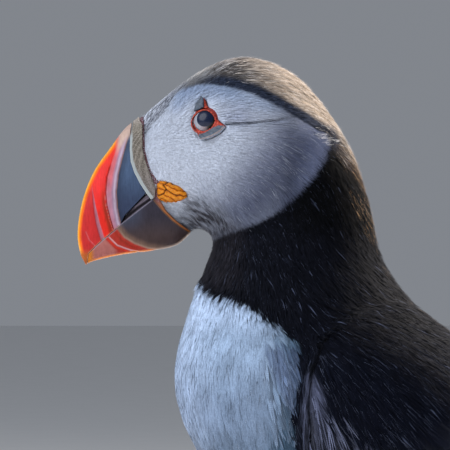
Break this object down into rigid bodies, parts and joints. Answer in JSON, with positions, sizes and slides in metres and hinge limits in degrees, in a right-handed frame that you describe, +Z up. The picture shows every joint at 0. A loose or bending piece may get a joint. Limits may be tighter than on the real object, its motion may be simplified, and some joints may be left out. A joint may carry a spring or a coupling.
{
  "type": "atlantic puffin",
  "caption": "Life-size still Atlantic puffin in breeding dress, standing upright on webbed feet with its head level and its bright bill a little open.",
  "frame": {"origin": "on the ground, under the middle of the bird's overall box", "axes": "the bird faces -Y, +X is its left, +Z is up"},
  "size_m": [0.101, 0.2024, 0.21],
  "materials": {
    "pale_plumage": "soft white to grey feathers",
    "dark_plumage": "blue-black feathers with a brown cast",
    "bill_horn": "waxy horn, slate at the base and red beyond, with pale grooves",
    "cere": "pale stippled horn",
    "rosette": "wrinkled orange-yellow skin",
    "bare_red_skin": "bare red skin round the eye",
    "eye": "wet dark eye",
    "eye_plate": "blue-grey horny plate",
    "leg_skin": "scaly orange-red skin",
    "claw": "black horn"
  },
  "bodies": {
    "root": {"head": "pale_plumage", "neck": "dark_plumage", "trunk": "pale_plumage", "tail": "dark_plumage", "wing_left": "dark_plumage", "wing_right": "dark_plumage", "thigh_left": "pale_plumage", "thigh_right": "pale_plumage", "upper_mandible": "bill_horn", "lower_mandible": "bill_horn", "cere": "cere", "rosette_left": "rosette", "rosette_right": "rosette", "orbit_left": "bare_red_skin", "orbit_right": "bare_red_skin", "eye_left": "eye", "eye_right": "eye", "eye_plate_upper_left": "eye_plate", "eye_plate_upper_right": "eye_plate", "eye_plate_lower_left": "eye_plate", "eye_plate_lower_right": "eye_plate", "shank_left": "leg_skin", "shank_right": "leg_skin", "foot_left": "leg_skin", "foot_right": "leg_skin", "claw_inner_left": "claw", "claw_middle_left": "claw", "claw_outer_left": "claw", "claw_inner_right": "claw", "claw_middle_right": "claw", "claw_outer_right": "claw"}
  },
  "joints": []
}
